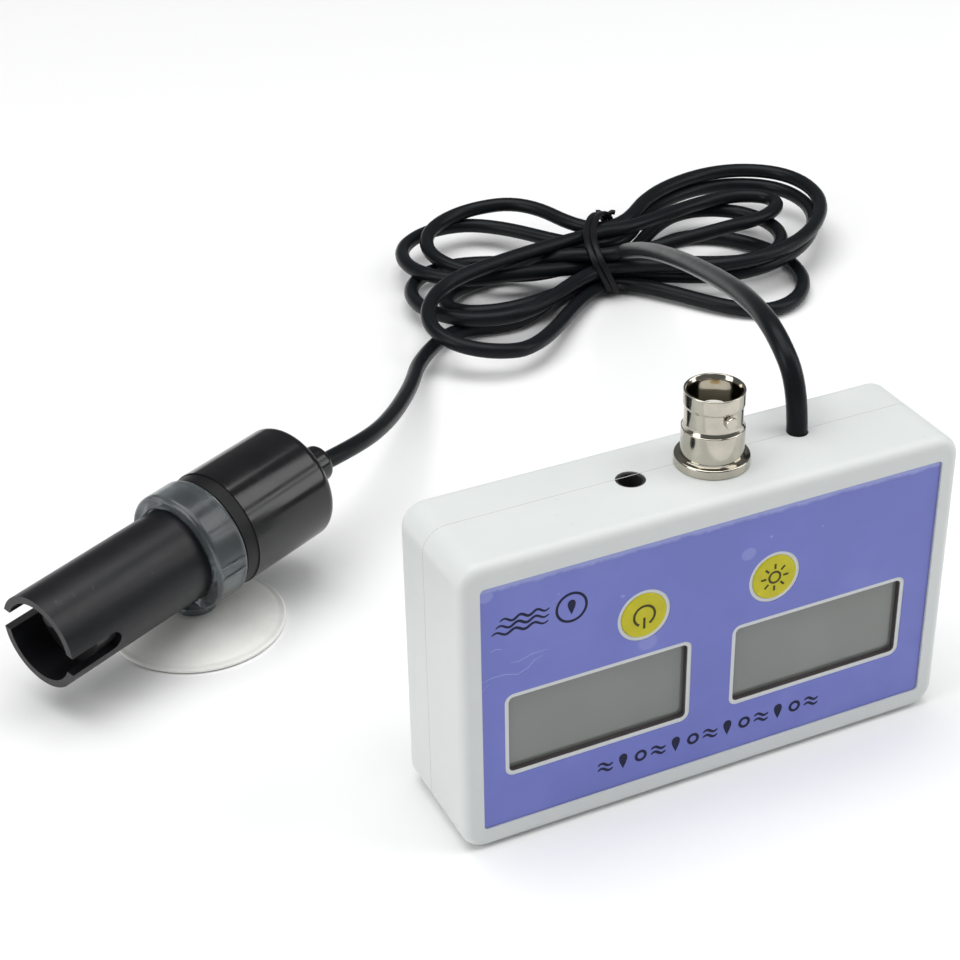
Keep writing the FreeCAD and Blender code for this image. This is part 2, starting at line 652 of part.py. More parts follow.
def probe_inside():
    """The sensing body in the tube, with its two electrodes and the temperature pin."""
    electrodes = ("-dims.electrode_offset", "dims.electrode_offset")
    low = "dims.sensor_front - dims.electrode_reach"
    high = "dims.sensor_front + dims.electrode_depth"
    body = probe_body("sensor_body")
    stretch(body, "AdditiveCylinder", "dims.tube_bore", "dims.sensor_front",
            "dims.sensor_back")
    for offset in (*electrodes, "0"):
        stretch(body, "SubtractiveCylinder", "dims.electrode_radius",
                "dims.sensor_front", high, offset)
    probe_node(body, "sensor_body")

    pair = joined("electrode_group", [
        rod(f"electrode_{i}", "dims.electrode_radius", f"({high}) - ({low})",
            ("0", offset, low)) for i, offset in enumerate(electrodes)])
    pair.Placement = PROBE_FRAME
    node(pair, "electrodes")
    pin = probe_body("temperature_pin")
    stretch(pin, "AdditiveCylinder", "dims.electrode_radius", low, high)
    probe_node(pin, "temperature_pin")


def probe_rear():
    collar = probe_body("seal_collar")
    stretch(collar, "AdditiveCylinder", "dims.collar_radius", "dims.collar_start",
            "dims.collar_end")
    stretch(collar, "SubtractiveCylinder", "dims.tube_radius", "dims.collar_start",
            "dims.collar_end")
    probe_node(collar, "seal_collar")

    housing = probe_body("rear_housing")
    stretch(housing, "AdditiveCylinder", "dims.housing_radius", "dims.collar_end",
            "dims.housing_end")
    round_end(housing, "dims.housing_edge", size("housing_end"))
    stretch(housing, "SubtractiveCylinder", "dims.tube_radius", "dims.collar_end",
            "dims.tube_tail")
    stretch(housing, "SubtractiveCylinder", "dims.housing_bore", "dims.tube_tail",
            "dims.housing_end - dims.housing_back_wall")
    stretch(housing, "SubtractiveCylinder", "dims.relief_radius",
            "dims.housing_end - dims.housing_back_wall", "dims.housing_end")
    probe_node(housing, "rear_housing")

    relief = probe_body("strain_relief")
    flange_back = "dims.housing_end - dims.housing_back_wall"
    stretch(relief, "AdditiveCylinder", "dims.relief_radius", flange_back,
            "dims.relief_end")
    round_end(relief, "dims.relief_edge", size("relief_end"))
    stretch(relief, "AdditiveCylinder", "dims.relief_flange_radius",
            f"{flange_back} - dims.relief_flange_thick", flange_back)
    stretch(relief, "SubtractiveCylinder", "dims.cable_diameter / 2",
            f"{flange_back} - dims.relief_flange_thick", "dims.relief_end")
    probe_node(relief, "strain_relief")


# ---------------------------------------------------------------- holder
def holder_ring():
    """The soft ring round the probe, with a foot that takes the suction cup's peg."""
    band = probe_body("ring_band")
    stretch(band, "AdditiveCylinder", "dims.ring_radius", "dims.ring_front",
            "dims.ring_back")
    round_end(band, "dims.ring_edge", size("ring_front"))
    band.Placement = PROBE_FRAME
    bore = probe_body("ring_bore")
    stretch(bore, "AdditiveCylinder", "dims.tube_radius + dims.ring_gap",
            "dims.ring_front - dims.foot_radius", "dims.ring_back + dims.foot_radius")
    bore.Placement = PROBE_FRAME
    foot = rod("ring_foot", "dims.foot_radius", "dims.foot_high - dims.foot_low",
               ("dims.probe_x", "dims.probe_y", "dims.foot_low"))
    socket = rod("peg_bore", "dims.peg_radius + dims.peg_gap",
                 "dims.peg_top + dims.cut_margin - dims.foot_low",
                 ("dims.probe_x", "dims.probe_y", "dims.foot_low"))
    groove = rod("bead_groove", "dims.bead_radius + dims.bead_gap",
                 "dims.bead_height + 2 * dims.bead_gap",
                 ("dims.probe_x", "dims.probe_y", "dims.bead_low - dims.bead_gap"))
    node(trimmed("ring", joined("ring_blank", [band, foot]), [bore, socket, groove]),
         "holder_ring")


def suction_cup():
    centre = ("dims.probe_x", "dims.probe_y")
    solids = [
        rod("cup_rim", "dims.cup_radius", "dims.cup_edge", (*centre, "0")),
        cone("cup_skirt", "dims.cup_radius", "dims.cup_shoulder_radius",
             "dims.cup_shoulder_z - dims.cup_edge", (*centre, "dims.cup_edge")),
        cone("cup_crown", "dims.cup_shoulder_radius", "dims.cup_crown_radius",
             "dims.cup_crown_z - dims.cup_shoulder_z", (*centre, "dims.cup_shoulder_z")),
        rod("cup_peg", "dims.peg_radius", "dims.peg_top - dims.cup_crown_z",
            (*centre, "dims.cup_crown_z")),
        rod("cup_bead", "dims.bead_radius", "dims.bead_height", (*centre, "dims.bead_low")),
    ]
    hollow = cone("cup_hollow", "dims.cup_hollow_radius", "dims.cup_crown_radius",
                  "dims.cup_hollow_depth", (*centre, "0"))
    node(trimmed("cup", joined("cup_blank", solids), [hollow]), "suction_cup")


# ---------------------------------------------------------------- cable
def tube_path(route):
    """Straight runs joined by tangent arcs, and the radius of each arc."""
    points = [Vector(*point) for point in route]
    edges = []
    radii = []
    start = points[0]
    for before, corner, after in zip(points, points[1:], points[2:]):
        into = (corner - before).normalize()
        out = (after - corner).normalize()
        half_turn = into.getAngle(out) / 2
        setback = 0.45 * min((corner - before).Length, (after - corner).Length)
        radius = setback / abs(math.tan(half_turn))
        radii.append(radius)
        arc_start = corner - into * setback
        arc_end = corner + out * setback
        inward = (out - into).normalize()
        middle = corner + inward * (radius * (1 / math.cos(half_turn) - 1))
        edges.append(Part.LineSegment(start, arc_start).toShape())
        edges.append(Part.Arc(arc_start, middle, arc_end).toShape())
        start = arc_end
    edges.append(Part.LineSegment(start, points[-1]).toShape())
    return Part.Wire(edges), radii


def cable_tube(label, route):
    """A length of cable along its route, checked against its section times its length."""
    path, radii = tube_path(route)
    radius = size("cable_diameter") / 2
    first = Vector(*route[0])
    direction = Vector(*route[1]) - first
    section = Part.Wire([Part.Circle(first, direction, radius).toShape()])
    solid = path.makePipeShell([section], True, False)
    expected = math.pi * radius ** 2 * path.Length
    print(label, "length", round(path.Length, 1), "radii", [round(r, 1) for r in radii],
          "volume ratio", round(solid.Volume / expected, 4))
    cable = doc.addObject("Part::Feature", label)
    cable.Shape = solid
    cable.Placement = Placement()
    node(cable, label)


def lobe(centre, radius, neck, half):
    """One end of the hank seen from above: a round end drawn in to the tied neck."""
    upper = neck + Vector(0, half, 0)
    lower = neck - Vector(0, half, 0)
    side = 1 if centre.x > neck.x else -1

    def tangent(point, sign):
        """The point where a line from the neck touches the round end."""
        away = point - centre
        spread = math.acos(radius / away.Length) * sign
        return centre + Rotation(Vector(0, 0, 1), math.degrees(spread)).multVec(
            away.normalize() * radius)

    high = tangent(upper, side * -1)
    low = tangent(lower, side)
    far = centre + Vector(side * radius, 0, 0)
    edges = [
        Part.LineSegment(lower, upper).toShape(),
        Part.LineSegment(upper, high).toShape(),
        Part.Arc(high, far, low).toShape(),
        Part.LineSegment(low, lower).toShape(),
    ]
    return Part.Face(Part.Wire(edges)).extrude(Vector(0, 0, size("hank_height")))


def cable_hank():
    """The tied hank as the closed solid of its outer shape, and the band round it."""
    neck = Vector(size("hank_waist_x"), size("hank_waist_y"), 0)
    half = size("hank_waist_half")
    left = lobe(Vector(size("hank_left_x"), size("hank_left_y"), 0),
                size("hank_left_radius"), neck, half)
    right = lobe(Vector(size("hank_right_x"), size("hank_right_y"), 0),
                 size("hank_right_radius"), neck, half)
    blank = left.fuse(right).removeSplitter()
    top = size("hank_height")
    rims = [edge for edge in blank.Edges if all(v.Z > top - 0.001 for v in edge.Vertexes)]
    blank = blank.makeFillet(size("hank_edge"), rims)

    width = size("tie_width")
    thick = size("tie_thick")
    low = neck - Vector(width / 2, half + thick, 0)
    outer = Part.makeBox(width, 2 * (half + thick), top + thick, low)
    inner = Part.makeBox(width, 2 * half, top - thick, low + Vector(0, thick, thick))
    band = outer.cut(inner)
    band.rotate(neck, Vector(0, 0, 1), size("tie_turn"))
    for label, shape in (("cable_hank", blank.cut(band)), ("hank_tie", band)):
        piece = doc.addObject("Part::Feature", label)
        piece.Shape = shape
        piece.Placement = Placement()
        node(piece, label)


# ---------------------------------------------------------------- build and write
front_shell()
back_shell()
case_screws()
label_overlay()
for button_name, button_x in BUTTONS.items():
    button(button_name, button_x)
displays()
main_board()
power_inlet()
probe_socket()
cable_entry()
probe_tube()
probe_inside()
probe_rear()
holder_ring()
suction_cup()
doc.recompute()

probe_exit = PROBE_FRAME.multVec(Vector(0, 0, size("probe_cable_start")))
cable_tube("cable_case_lead", CASE_LEAD)
cable_tube("cable_probe_lead", [tuple(probe_exit)] + PROBE_LEAD)
cable_hank()
doc.recompute()

for item in doc.Objects:
    if {"Invalid", "Error"} & set(item.State):
        raise RuntimeError(f"{item.Label} failed: {item.State}")
for label, item in NODES.items():
    if item.Shape.isNull() or not item.Shape.isValid() or not item.Shape.Solids:
        raise RuntimeError(f"{label} has no valid solid")

os.makedirs("parts", exist_ok=True)
for label, item in NODES.items():
    item.Shape.exportStep(f"parts/{label}.step")
    print(label, len(item.Shape.Solids), "solid(s)", round(item.Shape.Volume, 1), "mm3")
print(len(NODES), "nodes")
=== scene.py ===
"""Digital water monitor.

A white box with two displays and a bayonet socket, and a wired probe in a ring on a suction cup.
"""
import math

import bmesh
import bpy
from mathutils import Matrix, Vector


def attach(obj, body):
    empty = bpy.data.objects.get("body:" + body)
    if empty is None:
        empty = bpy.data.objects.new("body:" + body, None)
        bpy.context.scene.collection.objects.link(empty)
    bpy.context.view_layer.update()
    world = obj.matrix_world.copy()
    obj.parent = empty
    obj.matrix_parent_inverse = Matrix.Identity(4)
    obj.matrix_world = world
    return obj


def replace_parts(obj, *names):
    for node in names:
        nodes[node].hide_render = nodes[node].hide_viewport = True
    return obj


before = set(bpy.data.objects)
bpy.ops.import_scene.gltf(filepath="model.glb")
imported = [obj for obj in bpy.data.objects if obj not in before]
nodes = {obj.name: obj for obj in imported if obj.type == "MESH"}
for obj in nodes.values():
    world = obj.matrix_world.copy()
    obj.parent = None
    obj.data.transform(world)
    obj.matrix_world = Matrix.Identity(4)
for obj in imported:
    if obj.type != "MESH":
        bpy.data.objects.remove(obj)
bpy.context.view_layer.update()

MM = 0.001


# ---------------------------------------------------------------- materials
def shader(name, colour, roughness, metallic=0.0, **sockets):
    """A Principled material with the given constants. Returns the material, its tree and its shader."""
    mat = bpy.data.materials.new(name)
    mat.use_nodes = True
    tree = mat.node_tree
    bsdf = tree.nodes["Principled BSDF"]
    bsdf.inputs["Base Color"].default_value = (*colour, 1.0)
    bsdf.inputs["Roughness"].default_value = roughness
    bsdf.inputs["Metallic"].default_value = metallic
    for socket, value in sockets.items():
        bsdf.inputs[socket.replace("_", " ")].default_value = value
    return mat, tree, bsdf


def place_coords(tree, stretch=(1, 1, 1)):
    """Object coordinates in metres, stretched where a grain runs one way."""
    coords = tree.nodes.new("ShaderNodeTexCoord")
    if tuple(stretch) == (1, 1, 1):
        return coords.outputs["Object"]
    mapping = tree.nodes.new("ShaderNodeMapping")
    mapping.inputs["Scale"].default_value = stretch
    tree.links.new(coords.outputs["Object"], mapping.inputs["Vector"])
    return mapping.outputs["Vector"]


def noise(tree, size_mm, detail, rough, stretch=(1, 1, 1)):
    """Noise whose features are about size_mm across."""
    tex = tree.nodes.new("ShaderNodeTexNoise")
    tex.inputs["Scale"].default_value = 1.0 / (size_mm * MM)
    tex.inputs["Detail"].default_value = detail
    tex.inputs["Roughness"].default_value = rough
    tree.links.new(place_coords(tree, stretch), tex.inputs["Vector"])
    return tex.outputs["Fac"]


def mapped(tree, value, from_min, from_max, to_min=0.0, to_max=1.0):
    """Maps from_min..from_max to to_min..to_max, and stops at both ends."""
    node = tree.nodes.new("ShaderNodeMapRange")
    limits = {"From Min": from_min, "From Max": from_max, "To Min": to_min, "To Max": to_max}
    for socket, number in limits.items():
        node.inputs[socket].default_value = number
    tree.links.new(value, node.inputs["Value"])
    return node.outputs["Result"]


def operate(tree, operation, *values):
    """One maths node; each value is a socket or a number."""
    node = tree.nodes.new("ShaderNodeMath")
    node.operation = operation
    for socket, value in zip(node.inputs, values):
        if isinstance(value, (int, float)):
            socket.default_value = value
        else:
            tree.links.new(value, socket)
    return node.outputs["Value"]


def blended(tree, fac, under, over):
    """Mixes a colour output toward the colour over."""
    mix = tree.nodes.new("ShaderNodeMix")
    mix.data_type = "RGBA"
    tree.links.new(fac, mix.inputs["Factor"])
    tree.links.new(under, mix.inputs["A"])
    mix.inputs["B"].default_value = (*over, 1)
    return mix.outputs["Result"]


def ramp(tree, fac, *stops):
    """A colour ramp; each stop is a place and a colour."""
    node = tree.nodes.new("ShaderNodeValToRGB")
    node.color_ramp.elements.remove(node.color_ramp.elements[1])
    for i, (at, colour) in enumerate(stops):
        stop = node.color_ramp.elements[0] if i == 0 else node.color_ramp.elements.new(at)
        stop.position = at
        stop.color = (*colour, 1.0)
    tree.links.new(fac, node.inputs["Fac"])
    return node.outputs["Color"]


def scaled(colour, factor):
    return tuple(min(1.0, c * factor) for c in colour)


def painted(tree, bsdf, fac, *stops):
    """Colours the surface with a ramp."""
    tree.links.new(ramp(tree, fac, *stops), bsdf.inputs["Base Color"])


def worn(tree, bsdf, fac, smoothest, roughest):
    """Varies the roughness over the surface."""
    tree.links.new(mapped(tree, fac, 0.0, 1.0, smoothest, roughest), bsdf.inputs["Roughness"])


def bumped(tree, bsdf, *heights):
    """Chains bumps, each a height output, a depth in mm and a strength."""
    last = None
    for height, depth_mm, strength in heights:
        bump = tree.nodes.new("ShaderNodeBump")
        bump.inputs["Distance"].default_value = depth_mm * MM
        bump.inputs["Strength"].default_value = strength
        tree.links.new(height, bump.inputs["Height"])
        if last is not None:
            tree.links.new(last, bump.inputs["Normal"])
        last = bump.outputs["Normal"]
    tree.links.new(last, bsdf.inputs["Normal"])


def moulded(name, colour, roughness, grain_mm, depth_mm, mottle, **sockets):
    """Moulded plastic: a fine spark-eroded grain, a faint mottle, and roughness that varies with handling."""
    mat, tree, bsdf = shader(name, colour, roughness, **sockets)
    dark, light = scaled(colour, 1 - mottle), scaled(colour, 1 + mottle)
    painted(tree, bsdf, noise(tree, 9.0, 4.0, 0.6), (0.3, dark), (0.7, light))
    worn(tree, bsdf, noise(tree, 6.0, 4.0, 0.7), max(0.02, roughness - 0.09), roughness + 0.09)
    grain, waves = noise(tree, grain_mm, 2.0, 0.6), noise(tree, 14.0, 1.0, 0.4)
    bumped(tree, bsdf, (grain, depth_mm, 0.6), (waves, 0.05, 0.25))
    return mat


def scuffed(mat, size_mm, pale):
    """Adds small pale scuffs to a moulded material's colour."""
    tree = mat.node_tree
    colour = tree.nodes["Principled BSDF"].inputs["Base Color"]
    mark = mapped(tree, noise(tree, size_mm, 3.0, 0.75, (1, 0.5, 1)), 0.66, 0.76)
    tree.links.new(blended(tree, mark, colour.links[0].from_socket, pale), colour)


def metal(name, colour, roughness):
    """Plated or machined metal with fine marks and a faint tarnish."""
    mat, tree, bsdf = shader(name, colour, roughness, 1.0)
    painted(tree, bsdf, noise(tree, 3.0, 5.0, 0.6), (0.35, scaled(colour, 0.9)), (0.65, scaled(colour, 1.04)))
    worn(tree, bsdf, noise(tree, 1.2, 4.0, 0.7), roughness * 0.7, roughness * 1.6)
    bumped(tree, bsdf, (noise(tree, 0.12, 3.0, 0.7, (1, 1, 6)), 0.004, 0.35))
    return mat


def board_material():
    """Green solder mask with the copper tracks showing faintly through it."""
    green = (0.02, 0.13, 0.055)
    mat, tree, bsdf = shader("circuit board", green, 0.32)
    tracks = tree.nodes.new("ShaderNodeTexBrick")
    tracks.inputs["Scale"].default_value = 180.0
    tracks.inputs["Mortar Size"].default_value = 0.03
    tracks.inputs["Color1"].default_value = (*green, 1)
    tracks.inputs["Color2"].default_value = (*scaled(green, 0.82), 1)
    tracks.inputs["Mortar"].default_value = (0.05, 0.26, 0.11, 1)
    turn = tree.nodes.new("ShaderNodeMapping")
    turn.inputs["Rotation"].default_value = (math.radians(90), 0, 0)
    tree.links.new(place_coords(tree), turn.inputs["Vector"])
    tree.links.new(turn.outputs["Vector"], tracks.inputs["Vector"])
    tree.links.new(tracks.outputs["Color"], bsdf.inputs["Base Color"])
    bumped(tree, bsdf, (tracks.outputs["Fac"], 0.03, 0.5))
    return mat


# Places where the film has lifted: x, z, half width and half height in mm, and how far it shows.
BUBBLES = [
    (5.4, 41.6, 1.35, 1.15, 0.45), (-12.1, 30.5, 1.7, 1.4, 0.32), (-16.7, 40.6, 0.42, 0.3, 0.5),
    (-39.6, 47.6, 1.3, 1.2, 0.5), (9.4, 43.7, 0.28, 0.22, 0.7), (18.8, 42.9, 0.16, 0.16, 0.8),
    (-27.6, 44.4, 0.2, 0.14, 0.7),
]


def bubble(tree, split, x, z, half_wide, half_high, depth):
    """A soft-edged oval in the plane of the front."""
    square = []
    for axis, centre, half in (("X", x, half_wide), ("Z", z, half_high)):
        off = operate(tree, "DIVIDE", operate(tree, "SUBTRACT", split.outputs[axis], centre * MM), half * MM)
        square.append(operate(tree, "MULTIPLY", off, off))
    return mapped(tree, operate(tree, "ADD", *square), 0.7, 1.15, depth, 0.0)


def label_material():
    """Blue film under a clear gloss, paler where it has lifted along its top edge, and lightly scuffed."""
    blue, pale = (0.148, 0.176, 0.57), (0.172, 0.200, 0.60)
    mat, tree, bsdf = shader("blue label film", blue, 0.34, Coat_Weight=0.15, Coat_Roughness=0.16)
    base = ramp(tree, noise(tree, 16.0, 3.0, 0.55), (0.3, scaled(blue, 0.94)), (0.52, blue), (0.75, pale))
    # the height up the label, roughened so that the lifted edge wanders
    split = tree.nodes.new("ShaderNodeSeparateXYZ")
    tree.links.new(place_coords(tree), split.inputs["Vector"])
    wander = operate(tree, "MULTIPLY_ADD", noise(tree, 3.2, 5.0, 0.7), 1.6 * MM, split.outputs["Z"])
    lifted = mapped(tree, wander, 48.6 * MM, 49.15 * MM)
    for spot in BUBBLES:
        lifted = operate(tree, "MAXIMUM", lifted, bubble(tree, split, *spot))
    tree.links.new(blended(tree, lifted, base, (0.31, 0.35, 0.72)), bsdf.inputs["Base Color"])
    worn(tree, bsdf, noise(tree, 5.0, 5.0, 0.7), 0.22, 0.42)
    grain, scratches = noise(tree, 0.18, 2.0, 0.5), noise(tree, 0.5, 4.0, 0.7, (1, 1, 9))
    bumped(tree, bsdf, (grain, 0.006, 0.5), (scratches, 0.01, 0.25), (lifted, 0.05, 0.6))
    return mat


def display_material():
    """An unlit grey-green display behind glass, with a faint unevenness of tone."""
    grey, pale = (0.198, 0.212, 0.195), (0.222, 0.234, 0.215)
    mat, tree, bsdf = shader("display glass", grey, 0.12, Coat_Weight=0.6, Coat_Roughness=0.06)
    painted(tree, bsdf, noise(tree, 22.0, 2.0, 0.5), (0.25, scaled(grey, 0.86)), (0.6, grey), (0.85, pale))
    worn(tree, bsdf, noise(tree, 2.0, 5.0, 0.7), 0.10, 0.22)
    bumped(tree, bsdf, (noise(tree, 0.12, 1.0, 0.5), 0.003, 0.4), (noise(tree, 20.0, 1.0, 0.4), 0.06, 0.2))
    return mat


def key_material():
    """A satin yellow key with finger wear."""
    yellow, pale = (0.60, 0.545, 0.010), (0.68, 0.63, 0.02)
    mat, tree, bsdf = shader("yellow key", yellow, 0.40, Specular_IOR_Level=0.3)
    painted(tree, bsdf, noise(tree, 3.5, 5.0, 0.65), (0.3, scaled(yellow, 0.88)), (0.6, yellow), (0.8, pale))
    worn(tree, bsdf, noise(tree, 2.2, 4.0, 0.7), 0.25, 0.48)
    bumped(tree, bsdf, (noise(tree, 0.22, 2.0, 0.6), 0.010, 0.5))
    return mat


def ink_material(name, colour):
    """Printed ink: nearly flat, thinner in places."""
    mat, tree, bsdf = shader(name, colour, 0.5, Specular_IOR_Level=0.2)
    painted(tree, bsdf, noise(tree, 0.6, 4.0, 0.7), (0.35, colour), (0.75, scaled(colour, 1.35)))
    bumped(tree, bsdf, (noise(tree, 0.15, 2.0, 0.5), 0.004, 0.4))
    return mat


def vinyl_material(name, colour, roughness, transmission):
    """Soft clear or milky vinyl with faint flow streaks."""
    mat, tree, bsdf = shader(name, colour, roughness, Transmission_Weight=transmission, IOR=1.49)
    painted(tree, bsdf, noise(tree, 7.0, 4.0, 0.6), (0.3, scaled(colour, 0.93)), (0.7, scaled(colour, 1.04)))
    worn(tree, bsdf, noise(tree, 4.0, 4.0, 0.6), roughness * 0.9, roughness * 1.15)
    bumped(tree, bsdf, (noise(tree, 6.0, 1.0, 0.4), 0.03, 0.1), (noise(tree, 0.4, 2.0, 0.5), 0.003, 0.2))
    return mat


def cable_material():
    """Black vinyl jacket, satin, with slight lengthwise drag and dust."""
    black, grey, dust = (0.0075, 0.009, 0.0105), (0.010, 0.012, 0.014), (0.022, 0.024, 0.026)
    mat, tree, bsdf = shader("black cable vinyl", black, 0.25, Specular_IOR_Level=0.13)
    painted(tree, bsdf, noise(tree, 1.4, 6.0, 0.75), (0.45, black), (0.74, grey), (0.88, dust))
    worn(tree, bsdf, noise(tree, 3.0, 4.0, 0.7), 0.24, 0.40)
    bumped(tree, bsdf, (noise(tree, 0.35, 3.0, 0.6), 0.012, 0.5), (noise(tree, 5.0, 2.0, 0.5), 0.06, 0.3))
    return mat


case_mat = moulded(
    "white case plastic", (0.69, 0.716, 0.706), 0.42, 0.30, 0.010, 0.012, Specular_IOR_Level=0.45
)
scuffed(case_mat, 1.3, (0.64, 0.66, 0.64))
probe_mat = moulded(
    "matte black probe plastic", (0.006, 0.006, 0.008), 0.34, 0.28, 0.014, 0.25, Specular_IOR_Level=0.36
)
scuffed(probe_mat, 1.6, (0.030, 0.031, 0.034))
housing_mat = moulded("glossy black housing plastic", (0.007, 0.007, 0.008), 0.15, 0.6, 0.004, 0.25)
scuffed(housing_mat, 1.1, (0.018, 0.018, 0.020))
collar_mat = moulded(
    "black rubber collar", (0.005, 0.005, 0.006), 0.45, 0.4, 0.012, 0.2, Specular_IOR_Level=0.3
)
sensor_mat = moulded("grey-black sensor body", (0.016, 0.016, 0.017), 0.33, 0.35, 0.010, 0.2)
graphite_mat = moulded("graphite", (0.05, 0.05, 0.052), 0.42, 0.12, 0.010, 0.15)
chip_mat = moulded("chip plastic", (0.02, 0.02, 0.02), 0.5, 0.15, 0.008, 0.2)
insulator_mat = moulded("white insulator", (0.82, 0.80, 0.75), 0.35, 0.3, 0.006, 0.03)
contact_rubber_mat = moulded("zebra contact rubber", (0.45, 0.45, 0.46), 0.6, 0.3, 0.02, 0.1)
backlight_mat = moulded("backlight acrylic", (0.78, 0.83, 0.72), 0.28, 0.5, 0.004, 0.02)
switch_mat = moulded("switch plastic", (0.03, 0.03, 0.032), 0.45, 0.25, 0.010, 0.2)
# the display liners' dark colour is painted shade: it stands for the shadow in the recess round each display
display_shade_liner_mat = moulded(
    "display liner painted shade", (0.065, 0.054, 0.057), 0.55, 0.3, 0.008, 0.2, Specular_IOR_Level=0.3
)
# the parting line's grey is painted shade in the seam between the two shells
parting_shade_mat = moulded("parting line", (0.50, 0.51, 0.50), 0.6, 0.3, 0.006, 0.05)
tie_mat = moulded("black rubber tie", (0.006, 0.006, 0.008), 0.42, 0.3, 0.012, 0.25, Specular_IOR_Level=0.2)
nickel_mat = metal("nickel plate", (0.52, 0.49, 0.42), 0.10)
steel_mat = metal("zinc-plated steel", (0.62, 0.63, 0.65), 0.28)
brass_mat = metal("gilt contact", (0.83, 0.62, 0.30), 0.2)
ink_mat = ink_material("navy ink", (0.008, 0.010, 0.04))
key_ink_mat = ink_material("olive ink", (0.055, 0.05, 0.01))
scuff_mat = ink_material("scuffed film", (0.33, 0.37, 0.68))
ring_mat = vinyl_material("clear vinyl ring", (0.30, 0.335, 0.35), 0.20, 0.88)
cup_mat = vinyl_material("milky vinyl cup", (0.95, 0.95, 0.91), 0.34, 0.0)
cable_mat = cable_material()
key_mat = key_material()
display_mat = display_material()

FINISHES = {
    "front_shell": case_mat,
    "back_shell": case_mat,
    "label_overlay": label_material(),
    "on_off_button": key_mat,
    "light_button": key_mat,
    "left_lcd_glass": display_mat,
    "right_lcd_glass": display_mat,
    "left_backlight": backlight_mat,
    "right_backlight": backlight_mat,
    "lcd_contact_strips": contact_rubber_mat,
    "main_board": board_material(),
    "board_screws": steel_mat,
    "case_screws": steel_mat,
    "circuit_chips": chip_mat,
    "tactile_switches": switch_mat,
    "power_inlet": switch_mat,
    "power_inlet_pin": nickel_mat,
    "bayonet_socket": nickel_mat,
    "socket_insulator": insulator_mat,
    "socket_contact": brass_mat,
    "socket_washer": steel_mat,
    "socket_nut": nickel_mat,
    "cable_clamp": switch_mat,
    "board_connector": insulator_mat,
    "cable_inner_end": cable_mat,
    "probe_tube": probe_mat,
    "sensor_body": sensor_mat,
    "electrodes": graphite_mat,
    "temperature_pin": steel_mat,
    "seal_collar": collar_mat,
    "rear_housing": housing_mat,
    "strain_relief": housing_mat,
    "holder_ring": ring_mat,
    "suction_cup": cup_mat,
}
for node_name, finish in FINISHES.items():
    mesh = nodes[node_name].data
    mesh.materials.clear()
    mesh.materials.append(finish)


def added(name, data):
    """A new object in the scene."""
    obj = bpy.data.objects.new(name, data)
    bpy.context.scene.collection.objects.link(obj)
    return obj


# ---------------------------------------------------------------- the cable
CASE_LEAD = [
    (21.2, 1.6, 50.0), (21.2, 1.7, 60.5), (21.0, 9.0, 67.5), (25.5, 24.0, 65.5),
    (32.5, 46.0, 58.5), (42.0, 76.0, 47.5), (52.5, 107.0, 34.0), (62.5, 134.0, 20.0),
    (70.5, 145.0, 14.0), (73.5, 150.5, 11.2),
]
PROBE_LEAD = [
    (27.0, 149.5, 1.8), (12.0, 134.0, 4.6), (3.0, 117.0, 8.6), (-11.0, 97.0, 13.5),
    (-23.5, 85.3, 17.3), (-34.0, 81.3, 17.6),
]
CABLE = 3.4
TIE = (73.2, 161.0)
TIE_ALONG = Vector((0.396, 0.917, 0.0)).normalized()
# how far a strand's points stand from the tie, along the hank and sideways
PINCH_AHEAD, PINCH_ASIDE = 5.0, 0.8
LOBE_POINTS = 6
# the curve runs inside its points, so a loop's points stand this much wider
LOBE_SPREAD = 1.08


def pinch(across, up, way):
    """A strand's two points, before and after the tie, going right where way is 1 and left where it is -1."""
    x, y = TIE[0] + TIE_ALONG.x * across, TIE[1] + TIE_ALONG.y * across
    return [(x + s * PINCH_AHEAD * way, y - s * PINCH_ASIDE * way, up) for s in (-1, 1)]


def lobe(x, y, half_long, half_wide, heading, start_up, end_up, first, last):
    """Points round the far end of a loop, from the angle first to the angle last off its heading."""
    points = []
    ahead, aside = math.cos(math.radians(heading)), math.sin(math.radians(heading))
    for i in range(LOBE_POINTS):
        part = i / (LOBE_POINTS - 1)
        angle = math.radians(first + (last - first) * part)
        a, b = LOBE_SPREAD * half_long * math.cos(angle), LOBE_SPREAD * half_wide * math.sin(angle)
        up = start_up + (end_up - start_up) * part
        points.append((x + a * ahead - b * aside, y + a * aside + b * ahead, up))
    return points


# each turn is a left loop, a pass through the tie, a right loop and the pass back
TURNS = [
    (
        (47.0, 158.2, 17.0, 10.4, 186, 1.9, 5.1, -92, 105), (-5.8, 2.3),
        (104.5, 159.6, 27.6, 19.9, 31, 5.6, 7.0, -136, 90), (5.2, 5.4),
    ),
    (
        (46.0, 176.0, 18.0, 17.0, 172, 4.9, 7.3, -112, 108), (-5.6, 5.7),
        (102.5, 158.5, 14.5, 15.5, 15, 5.2, 5.2, -120, 110), (2.0, 2.3),
    ),
    (
        (41.5, 159.5, 18.0, 18.5, 182, 1.8, 6.6, -112, 90), (-9.4, 6.5),
        (105.5, 159.4, 28.4, 20.5, 31.5, 9.0, 10.4, -140, 88), (8.2, 8.6),
    ),
    (
        (53.5, 177.2, 18.5, 15.4, 163, 9.6, 4.3, -112, 108), (-1.9, 5.5),
        (107.5, 163.3, 13.5, 7.6, 2, 8.6, 8.6, -112, 112), (1.8, 10.6),
    ),
    (
        (34.8, 141.4, 16.4, 14.0, 200, 11.6, 5.0, -112, 84), (-9.4, 2.3),
        (95.5, 146.5, 17.8, 21.5, 8, 1.8, 1.8, -112, 80), (-2.1, 2.3),
    ),
]


